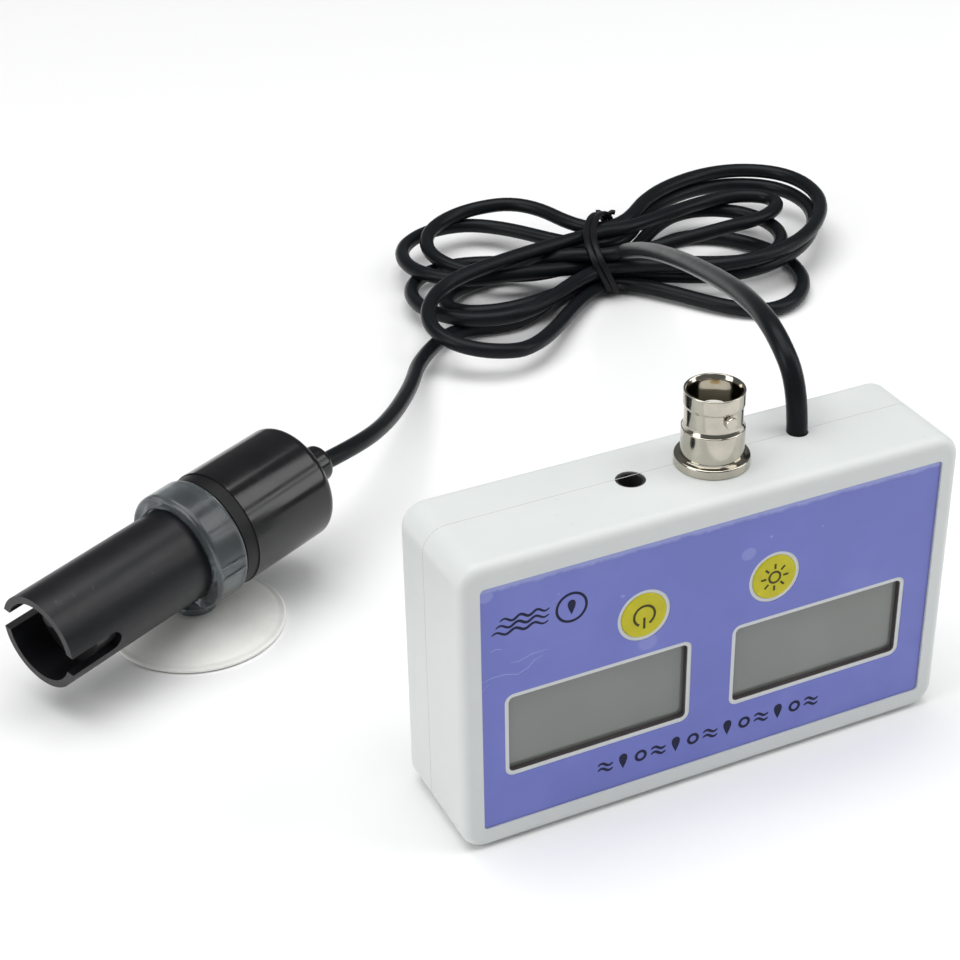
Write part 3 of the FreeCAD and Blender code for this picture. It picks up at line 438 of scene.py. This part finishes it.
def cable_route():
    """The points of the cable in mm, from the case through the hank's turns to the probe."""
    route = CASE_LEAD + [(69.5, 153.2, 9.3), (62.5, 157.0, 9.4), (57.0, 161.6, 7.8), (52.0, 166.8, 3.0)]
    for left, there, right, back in TURNS:
        route += lobe(*left) + pinch(*there, 1) + lobe(*right) + pinch(*back, -1)
    return route + [(54.0, 153.0, 1.8), (42.0, 144.5, 1.8)] + PROBE_LEAD


def make_cable():
    """The whole cable, as one round curve."""
    data = bpy.data.curves.new("cable", "CURVE")
    data.dimensions = "3D"
    spline = data.splines.new("NURBS")
    route = cable_route()
    spline.points.add(len(route) - 1)
    for point, place in zip(spline.points, route):
        point.co = (*(c * MM for c in place), 1.0)
        point.radius = CABLE / 2 * MM
    spline.order_u = 3
    spline.use_endpoint_u = True
    spline.resolution_u = 8
    data.bevel_depth = 1.0
    data.bevel_resolution = 4
    data.use_fill_caps = True
    data.materials.append(cable_mat)
    return added("cable", data)


cable = make_cable()
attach(cable, "monitor")
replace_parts(cable, "cable_case_lead", "cable_hank", "cable_probe_lead")


# ---------------------------------------------------------------- meshes
# edges that bend less than this are shaded smooth
SMOOTH_BELOW = math.radians(32)


def mesh_piece(name, bm, mat, body, smooth=True):
    """Turns a bmesh into a piece that rides on a body."""
    bmesh.ops.recalc_face_normals(bm, faces=bm.faces)
    for edge in bm.edges:
        edge.smooth = edge.calc_face_angle(0.0) < SMOOTH_BELOW
    for face in bm.faces:
        face.smooth = smooth
    mesh = bpy.data.meshes.new(name)
    bm.to_mesh(mesh)
    bm.free()
    mesh.materials.append(mat)
    obj = added(name, mesh)
    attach(obj, body)
    return obj


def superellipse(count, power):
    """Points round a rounded bar's section, in units of its half sizes."""
    points = []
    for k in range(count):
        c, d = math.cos(2 * math.pi * k / count), math.sin(2 * math.pi * k / count)
        points.append((math.copysign(abs(c) ** power, c), math.copysign(abs(d) ** power, d)))
    return points


SECTION_POINTS, SECTION_POWER = 14, 0.6


def sweep(bm, path, side, half_wide, half_thick, closed):
    """A rounded bar along a path. side is the direction of its width."""
    section = superellipse(SECTION_POINTS, SECTION_POWER)
    rings = []
    count = len(path)
    for i, here in enumerate(path):
        before = path[i - 1] if closed or i > 0 else here
        after = path[(i + 1) % count] if closed or i + 1 < count else here
        out = (after - before).normalized().cross(side).normalized()
        outline = [here + side * half_wide * c + out * half_thick * d for c, d in section]
        rings.append([bm.verts.new(place * MM) for place in outline])
    for i in range(0 if closed else 1, count):
        for k in range(len(section)):
            n = (k + 1) % len(section)
            bm.faces.new((rings[i - 1][k], rings[i][k], rings[i][n], rings[i - 1][n]))
    if not closed:
        bm.faces.new(rings[0])
        bm.faces.new(rings[-1])


def smooth_loop(points, steps=9):
    """A closed quadratic B-spline through the middles of its points' sides."""
    line = []
    count = len(points)
    for i in range(count):
        a, b, c = points[i - 1], points[i], points[(i + 1) % count]
        start, end = (a + b) / 2, (b + c) / 2
        for k in range(steps):
            t = k / steps
            line.append(start * (1 - t) ** 2 + b * 2 * t * (1 - t) + end * t * t)
    return line


# the band's path round the strands: across them, up, and the lean along them
TIE_OUTLINE = [
    (-12.8, 3.2, 0.0), (-13.0, 7.4, -2.2), (-11.4, 10.6, -3.8), (-7.0, 12.3, -4.7), (-1.0, 12.4, -4.4),
    (4.5, 12.9, -3.2), (9.2, 12.2, -1.2), (12.2, 9.6, 0.8), (11.8, 6.6, 1.6), (8.2, 2.9, 1.8),
    (2.0, 0.9, 1.4), (-5.0, 0.6, 0.9), (-10.8, 0.7, 0.4),
]
# its two windings: the shift along the strands, and the size
TIE_WINDINGS = [(-0.78, 1.0), (0.80, 1.012)]
# its two loose ends and the knot at its foot: the place across, up and along the strands, and the reach
# along and across them
TIE_ENDS = [(10.4, 11.3, -0.4, -1.5, 0.5), (11.2, 10.9, 1.2, 1.5, 0.3), (-12.4, 3.0, 0.8, 2.2, -0.6)]
BAND_HALF_WIDE, BAND_HALF_THICK = 0.8, 0.55
END_HALF_WIDE, END_HALF_THICK = 0.65, 0.5
# keeps the band's lower side off the table
BAND_LOWEST = 0.62


def make_tie():
    """A rubber band wound twice round the strands, its two ends standing off at the top."""
    side = TIE_ALONG.cross(Vector((0, 0, 1)))
    bm = bmesh.new()
    for shift, grow in TIE_WINDINGS:
        path = []
        for across, up, lean in TIE_OUTLINE:
            place = Vector((*TIE, max(BAND_LOWEST, up * grow)))
            path.append(place + TIE_ALONG * across * grow + side * (lean + shift))
        sweep(bm, smooth_loop(path), side, BAND_HALF_WIDE, BAND_HALF_THICK, True)
    for across, up, along_side, reach_side, reach_across in TIE_ENDS:
        foot = Vector((*TIE, up)) + TIE_ALONG * across + side * along_side
        tip = foot + side * reach_side + TIE_ALONG * reach_across + Vector((0, 0, 0.25))
        middle = foot.lerp(tip, 0.5) + Vector((0, 0, 0.3))
        sweep(bm, [foot, middle, tip], TIE_ALONG, END_HALF_WIDE, END_HALF_THICK, False)
    return mesh_piece("hank_band", bm, tie_mat, "monitor")


tie = make_tie()
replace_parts(tie, "hank_tie")


# ---------------------------------------------------------------- holder
PROBE_PLACE = Vector((-61.2, 68.6, 16.4))
PROBE_HEADING, PROBE_TILT = 25, 2.3
PROBE_TURN = (
    Matrix.Rotation(math.radians(PROBE_HEADING), 4, "Z")
    @ Matrix.Rotation(math.radians(90 - PROBE_TILT), 4, "Y")
)
UNDER_PROBE = Matrix.Translation((PROBE_PLACE.x, PROBE_PLACE.y, 0))
# the ribs start this far from the probe's axis, a little inside the ring's outside
RIB_RADIUS = 11.15


def supported(profile, closed, near=0.12):
    """Adds a point near each end of every long side, so that smooth shading stays on the corners."""
    points = []
    for i, (radius, height) in enumerate(profile):
        points.append((radius, height))
        if i + 1 == len(profile) and not closed:
            break
        after = profile[(i + 1) % len(profile)]
        length = math.hypot(after[0] - radius, after[1] - height)
        if length > 5 * near:
            for t in (near / length, 1 - near / length):
                points.append((radius + (after[0] - radius) * t, height + (after[1] - height) * t))
    return points


def lathe(bm, profile, steps, matrix, closed):
    """Turns a profile of radius and height about the matrix's z axis. A closed profile makes a ring."""
    rows = []
    for radius, height in supported(profile, closed):
        if radius == 0:
            rows.append([bm.verts.new(matrix @ Vector((0, 0, height)) * MM)] * steps)
            continue
        rows.append([
            bm.verts.new(matrix @ Vector((radius * math.cos(a), radius * math.sin(a), height)) * MM)
            for a in (2 * math.pi * i / steps for i in range(steps))
        ])
    for j in range(0 if closed else 1, len(rows)):
        for i in range(steps):
            n = (i + 1) % steps
            corners = (rows[j - 1][i], rows[j - 1][n], rows[j][n], rows[j][i])
            bm.faces.new(list(dict.fromkeys(corners)))


def arc(cx, cy, radius, start, end, steps=5):
    """Points on an arc, in degrees."""
    return [
        (cx + radius * math.cos(math.radians(start + (end - start) * i / steps)),
         cy + radius * math.sin(math.radians(start + (end - start) * i / steps)))
        for i in range(steps + 1)
    ]


def make_ring():
    """The soft clear ring: a band, two short ribs and a foot run together, then bored for the cup's peg."""
    across = Matrix.Translation(PROBE_PLACE) @ PROBE_TURN
    band = bmesh.new()
    section = arc(10.45, -2.35, 0.95, -90, 0) + arc(10.7, 3.0, 0.7, 0, 90)
    section += [(9.2, 3.7), (8.95, 3.5), (8.95, -3.1), (9.2, -3.3)]
    lathe(band, section, 160, across, True)
    foot = bmesh.new()
    flare = [(0, 3.6), (3.7, 3.6), (3.9, 3.7), (4.0, 3.9), (4.1, 4.8), (4.6, 5.6), (5.6, 6.2)]
    flare += [(5.0, 7.1), (0, 7.1)]
    lathe(foot, flare, 64, UNDER_PROBE, False)
    steps = [("UNION", foot)]
    # along the ring's axis, and out from where the ribs start
    crest = [(-2.5, 0), (-1.9, 0.2), (0.5, 0.32), (2.2, 0.2), (2.8, 0)]
    for degrees in (86, 97):
        turn = math.radians(degrees)
        out = Vector((-math.cos(turn), -math.sin(turn), 0))
        path = [across @ (out * (RIB_RADIUS + rise) + Vector((0, 0, along))) for along, rise in crest]
        rib = bmesh.new()
        sweep(rib, path, across.to_3x3() @ out.cross(Vector((0, 0, 1))), 0.42, 0.4, False)
        steps.append(("UNION", rib))
    bore = bmesh.new()
    hollow = [(0, 3.0), (2.2, 3.0), (2.2, 5.4), (2.7, 5.4), (2.7, 6.4), (2.2, 6.4), (2.2, 9.0), (0, 9.0)]
    lathe(bore, hollow, 40, UNDER_PROBE, False)
    steps.append(("DIFFERENCE", bore))
    return mesh_piece("vinyl_ring", combined(band, steps), ring_mat, "holder_ring")


def plain_object(bm):
    """A bmesh as an object without a body, to be joined or cut with."""
    bmesh.ops.recalc_face_normals(bm, faces=bm.faces)
    mesh = bpy.data.meshes.new("blank")
    bm.to_mesh(mesh)
    bm.free()
    return added("blank", mesh)


def combined(base, steps):
    """The base joined with or cut by each of the others, as a new bmesh."""
    holder = plain_object(base)
    others = []
    for operation, bm in steps:
        other = plain_object(bm)
        others.append(other)
        step = holder.modifiers.new(operation, "BOOLEAN")
        step.operation = operation
        step.solver = "EXACT"
        step.object = other
    shape = bpy.data.meshes.new_from_object(holder.evaluated_get(bpy.context.evaluated_depsgraph_get()))
    for obj in (holder, *others):
        bpy.data.objects.remove(obj)
    result = bmesh.new()
    result.from_mesh(shape)
    return result


def make_cup():
    """The suction cup: a dished skirt with a beaded lip, a crown and a beaded peg."""
    profile = [
        (16.0, 0.0), (16.2, 0.15), (16.2, 0.5), (16.0, 0.72), (15.6, 0.8), (15.2, 0.74), (14.9, 0.86),
        (14.2, 1.12), (13.2, 1.44), (12.0, 1.78), (10.6, 2.12), (9.0, 2.46), (7.4, 2.75), (6.0, 2.98),
        (4.8, 3.16), (3.4, 3.24), (2.4, 3.34), (2.1, 3.7), (2.1, 5.4), (2.25, 5.52), (2.55, 5.7), (2.6, 5.9),
        (2.55, 6.1), (2.25, 6.28), (2.05, 6.4), (1.95, 6.75), (1.6, 6.95), (0, 7.0),
    ]
    hollow = [(14.9, 0.08), (13.0, 0.34), (10.0, 0.72), (7.0, 0.98), (4.0, 1.1), (0, 1.14)]
    bm = bmesh.new()
    lathe(bm, hollow[::-1] + profile, 128, UNDER_PROBE, False)
    return mesh_piece("vinyl_cup", bm, cup_mat, "suction_cup")


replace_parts(make_ring(), "holder_ring")
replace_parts(make_cup(), "suction_cup")


# ---------------------------------------------------------------- small pieces of the case
CASE_WIDE, CASE_TOP, CASE_CORNER = 88.0, 53.0, 4.0
PARTING_Y = 1.8
# the parting line stands this far inside the case's outline
PARTING_IN = 0.02
WINDOWS_X = (-20.4, 19.5)
WINDOW_Z, WINDOW_WIDE, WINDOW_HIGH, WINDOW_CORNER = 20.6, 31.2, 14.3, 0.9
SOCKET = (4.5, 0.0)
LUG_UP = 9.3
LUG_HEADINGS = (-90, 90)
INLET = (-9.4, 0.8)


def rounded_outline(x, z, wide, high, radius, steps=6):
    """A rounded rectangle in the plane of the front, about x and z."""
    points = []
    for cx, cz, start in ((1, 1, 0), (-1, 1, 90), (-1, -1, 180), (1, -1, 270)):
        middle = (x + cx * (wide / 2 - radius), z + cz * (high / 2 - radius))
        points += arc(*middle, radius, start, start + 90, steps)
    return points


def make_shade_liners():
    """A dark lining round each display, in the gap between its step and the window; its dark colour is
    painted shade for the recess.
    """
    bm = bmesh.new()
    for x in WINDOWS_X:
        loops = []
        for inset, y in ((0.0, -9.4), (0.0, -10.42), (0.16, -10.36), (0.16, -9.4)):
            wide, high = WINDOW_WIDE - 2 * inset, WINDOW_HIGH - 2 * inset
            outline = rounded_outline(x, WINDOW_Z, wide, high, WINDOW_CORNER - inset)
            loops.append([bm.verts.new((px * MM, y * MM, pz * MM)) for px, pz in outline])
        for j in range(len(loops)):
            for i in range(len(loops[0])):
                n = (i + 1) % len(loops[0])
                bm.faces.new((loops[j - 1][i], loops[j - 1][n], loops[j][n], loops[j][i]))
    return mesh_piece("display_shade_liners", bm, display_shade_liner_mat, "monitor", False)


def make_parting_line():
    """The fine line where the two shells meet, coloured grey as painted shade in the seam."""
    bm = bmesh.new()
    wide, high = CASE_WIDE - 2 * PARTING_IN, CASE_TOP - 2 * PARTING_IN
    outline = rounded_outline(0, CASE_TOP / 2, wide, high, CASE_CORNER - PARTING_IN, 8)
    path = [Vector((x, PARTING_Y, z)) for x, z in outline]
    sweep(bm, path, Vector((0, 1, 0)), 0.07, 0.035, True)
    return mesh_piece("parting_line", bm, parting_shade_mat, "monitor")


def make_inlet_nose():
    """The black nose of the power inlet, in its hole in the top."""
    bm = bmesh.new()
    profile = [(1.9, 50.9), (2.38, 50.9), (2.38, 52.8), (2.3, 52.9), (2.0, 52.9), (1.9, 52.75)]
    lathe(bm, profile, 48, Matrix.Translation((*INLET, 0)), True)
    return mesh_piece("inlet_nose", bm, switch_mat, "monitor")


def make_socket():
    """The bayonet socket, with its edges broken as turned and plated, and its two lugs."""
    outer = (
        [(4.7, -6.8), (4.7, 0.0), (5.85, 0.0), (6.0, 0.12)] + arc(5.72, 1.32, 0.28, 0, 90, 4)
        + [(5.25, 1.62), (5.05, 1.7), (5.0, 1.9)] + arc(4.82, 6.45, 0.18, 0, 70, 3)
        + [(4.66, 7.15), (4.6, 7.35), (4.6, 10.2), (4.64, 10.36), (4.76, 10.5), (4.8, 10.66)]
        + arc(4.65, 12.84, 0.15, 0, 90, 3)
    )
    inner = [(4.52, 12.98), (4.42, 12.9), (4.12, 12.3), (4.1, 12.1), (4.1, 3.4), (2.45, 3.4), (2.45, -6.8)]
    bm = bmesh.new()
    lathe(bm, outer + inner, 128, Matrix.Translation((*SOCKET, CASE_TOP)), True)
    lug = [(0, 4.2), (1.0, 4.2), (1.0, 5.3), (0.92, 5.45), (0.75, 5.5), (0, 5.5)]
    sideways = Matrix.Rotation(math.radians(90), 4, "Y")
    for heading in LUG_HEADINGS:
        turn = Matrix.Rotation(math.radians(heading), 4, "Z") @ sideways
        lathe(bm, lug, 28, Matrix.Translation((*SOCKET, CASE_TOP + LUG_UP)) @ turn, False)
    return mesh_piece("socket_body", bm, nickel_mat, "monitor")


make_shade_liners()
make_parting_line()
make_inlet_nose()
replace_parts(make_socket(), "bayonet_socket")


# ---------------------------------------------------------------- printed signs
def ribbon(bm, line, widths, front, thick):
    """A printed stroke in the plane of the front, along a line of x and z, with its width at each point."""
    count = len(line)
    left, right = [], []
    for i, (x, z) in enumerate(line):
        before, after = line[max(0, i - 1)], line[min(count - 1, i + 1)]
        dx, dz = after[0] - before[0], after[1] - before[1]
        size = math.hypot(dx, dz) or 1.0
        nx, nz = -dz / size * widths[i] / 2, dx / size * widths[i] / 2
        left.append((x + nx, z + nz))
        right.append((x - nx, z - nz))
    plate(bm, left + right[::-1], front, thick)


def plate(bm, outline, front, thick):
    """A flat closed shape, thick enough to sit in the surface it's printed on."""
    faces = [[bm.verts.new((x * MM, y * MM, z * MM)) for x, z in outline] for y in (front, front + thick)]
    bm.faces.new(faces[0])
    bm.faces.new(faces[1][::-1])
    for i in range(len(outline)):
        n = (i + 1) % len(outline)
        bm.faces.new((faces[0][i], faces[1][i], faces[1][n], faces[0][n]))


def hoop(bm, x, z, radius, width, start, end, front, thick):
    """An arc, or a full ring made as two halves that meet."""
    spans = [(start, end)] if end - start < 360 else [(start, start + 180), (start + 180, end)]
    for first, last in spans:
        line = arc(x, z, radius, first, last, 40)
        ribbon(bm, line, [width] * len(line), front, thick)


def wave(bm, x, z, length, height, width, crests, front, thick):
    """A wavy stroke, tapered at its ends."""
    line, widths = [], []
    for i in range(13 * crests + 1):
        t = i / (13 * crests)
        line.append((x + length * (t - 0.5), z + height * math.sin(2 * math.pi * crests * t)))
        widths.append(width * (0.35 + 0.65 * math.sin(math.pi * t) ** 0.5))
    ribbon(bm, line, widths, front, thick)


def drop(bm, x, z, height, front, thick):
    """A drop, its point down, as the box stands."""
    outline = []
    for i in range(32):
        a = 2 * math.pi * i / 32
        pull = (1 - math.cos(a)) / 2
        outline.append((x + 0.36 * height * math.sin(a) * pull ** 0.75, z + height * (pull - 0.5)))
    plate(bm, outline, front, thick)


KEY_FRONT = -10.75
LABEL_FRONT = -10.65
LEFT_KEY, RIGHT_KEY, KEY_Z = -12.9, 10.4, 35.85
# where each print starts, just proud of its surface, and how deep it goes
KEY_PRINT = (KEY_FRONT - 0.02, 0.06)
LABEL_PRINT = (LABEL_FRONT - 0.015, 0.05)
SCUFF_PRINT = (LABEL_FRONT - 0.008, 0.03)
POWER_STROKE, LAMP_STROKE = 0.42, 0.38
# the row under the displays, and the sign at the label's left
ROW_START, ROW_STEP, ROW_Z = -19.2, 3.2, 8.5
BADGE_X, BADGE_Z = -25.4, 41.3
FILM_SCUFFS = [
    [(-40.3, 32.2), (-38.6, 32.6), (-36.4, 32.5), (-34.5, 31.9), (-32.8, 32.5), (-31.6, 33.6), (-30.2, 34.1)],
    [(-35.6, 34.4), (-34.2, 34.2), (-32.0, 34.9), (-29.4, 34.9)],
    [(-40.4, 30.6), (-39.2, 31.6)],
    [(-39.0, 37.4), (-37.9, 37.6), (-37.0, 37.3)],
]


def make_signs():
    """A power sign and a lamp sign on the keys, and rings, drops and waves where a name would stand."""
    power = bmesh.new()
    hoop(power, LEFT_KEY, KEY_Z, 1.8, POWER_STROKE, -60, 240, *KEY_PRINT)
    ribbon(power, [(LEFT_KEY, KEY_Z - 0.35), (LEFT_KEY, KEY_Z - 2.4)], [POWER_STROKE] * 2, *KEY_PRINT)
    mesh_piece("power_sign", power, key_ink_mat, "on_off_button", False)

    lamp = bmesh.new()
    hoop(lamp, RIGHT_KEY, KEY_Z, 1.0, LAMP_STROKE, 0, 360, *KEY_PRINT)
    for i in range(8):
        a = math.pi * i / 4
        ray = [(RIGHT_KEY + r * math.cos(a), KEY_Z + r * math.sin(a)) for r in (1.55, 2.5)]
        ribbon(lamp, ray, [LAMP_STROKE] * 2, *KEY_PRINT)
    mesh_piece("lamp_sign", lamp, key_ink_mat, "light_button", False)

    art = bmesh.new()
    for i in range(13):
        x = ROW_START + i * ROW_STEP
        if i % 3 == 1:
            drop(art, x, ROW_Z, 3.0, *LABEL_PRINT)
        elif i % 3 == 2:
            hoop(art, x, ROW_Z, 0.85, 0.52, 0, 360, *LABEL_PRINT)
        else:
            for z in (ROW_Z - 0.5, ROW_Z + 0.5):
                wave(art, x, z, 2.7, 0.34, 0.50, 1, *LABEL_PRINT)
    for i, z in enumerate((40.2, 41.3, 42.4)):
        wave(art, -34.0 + 0.4 * i, z, 9.4 - 0.6 * i, 0.33, 0.48, 3, *LABEL_PRINT)
    drop(art, BADGE_X, BADGE_Z, 2.7, *LABEL_PRINT)
    hoop(art, BADGE_X, BADGE_Z, 2.5, 0.45, 0, 360, *LABEL_PRINT)
    mesh_piece("label_print", art, ink_mat, "monitor", False)

    scuffs = bmesh.new()
    for line in FILM_SCUFFS:
        ribbon(scuffs, line, [0.05] + [0.11] * (len(line) - 2) + [0.05], *SCUFF_PRINT)
    mesh_piece("film_scuffs", scuffs, scuff_mat, "monitor", False)


make_signs()


# ---------------------------------------------------------------- stage, lights and camera
# the lights point here, near the middle of the object
MIDDLE = Vector((0.02, 0.07, 0.02))
# each light's name, place, size and power
LIGHTS = [
    ("overhead", (-0.15, 0.15, 1.4), (1.4, 1.4), 18.5),
    ("left window", (-0.95, 0.0, 0.42), (0.5, 0.6), 3.2),
    ("upper right window", (0.50, -0.21, 0.72), (0.46, 0.38), 1.5),
    ("lower right window", (0.74, -0.29, 0.35), (0.46, 0.38), 1.5),
]
SKY, SKY_STRENGTH = (0.97, 0.98, 1.0, 1.0), 0.16
FLOOR_HALF, FLOOR_DOWN = 3.0, 0.0002
CAMERA_PLACE = (-0.14439, -0.23852, 0.22122)
CAMERA_HEADING, CAMERA_DOWN, CAMERA_ROLL = -24.607, 31.498, -1.183
CAMERA_LENS, CAMERA_SENSOR = 78.55, 36.0


def make_stage():
    """The pale floor that the object stands on."""
    bm = bmesh.new()
    bmesh.ops.create_grid(bm, x_segments=2, y_segments=2, size=FLOOR_HALF)
    mesh = bpy.data.meshes.new("floor")
    bm.to_mesh(mesh)
    bm.free()
    mesh.materials.append(shader("pale floor", (0.95, 0.95, 0.95), 0.7)[0])
    floor = added("floor", mesh)
    floor.location = (0, 0, -FLOOR_DOWN)


def make_lights():
    """A dim even sky and the four soft lights."""
    world = bpy.data.worlds.new("studio")
    world.use_nodes = True
    background = world.node_tree.nodes["Background"]
    background.inputs["Color"].default_value = SKY
    background.inputs["Strength"].default_value = SKY_STRENGTH
    bpy.context.scene.world = world
    for name, place, size, power in LIGHTS:
        data = bpy.data.lights.new(name, "AREA")
        data.shape = "RECTANGLE"
        data.size, data.size_y = size
        data.energy = power
        lamp = added(name, data)
        lamp.location = place
        lamp.rotation_mode = "QUATERNION"
        lamp.rotation_quaternion = (MIDDLE - Vector(place)).to_track_quat("-Z", "Y")


def make_camera():
    """The camera in front of the object, to its left and above it."""
    data = bpy.data.cameras.new("camera")
    data.sensor_width = CAMERA_SENSOR
    data.lens = CAMERA_LENS
    data.clip_start = 0.01
    camera = added("camera", data)
    look = (
        Matrix.Rotation(math.radians(CAMERA_HEADING), 4, "Z")
        @ Matrix.Rotation(math.radians(90 - CAMERA_DOWN), 4, "X")
        @ Matrix.Rotation(math.radians(CAMERA_ROLL), 4, "Z")
    )
    camera.matrix_world = Matrix.Translation(CAMERA_PLACE) @ look
    bpy.context.scene.camera = camera


make_stage()
make_lights()
make_camera()
bpy.context.scene.view_settings.view_transform = "Standard"
bpy.context.view_layer.update()
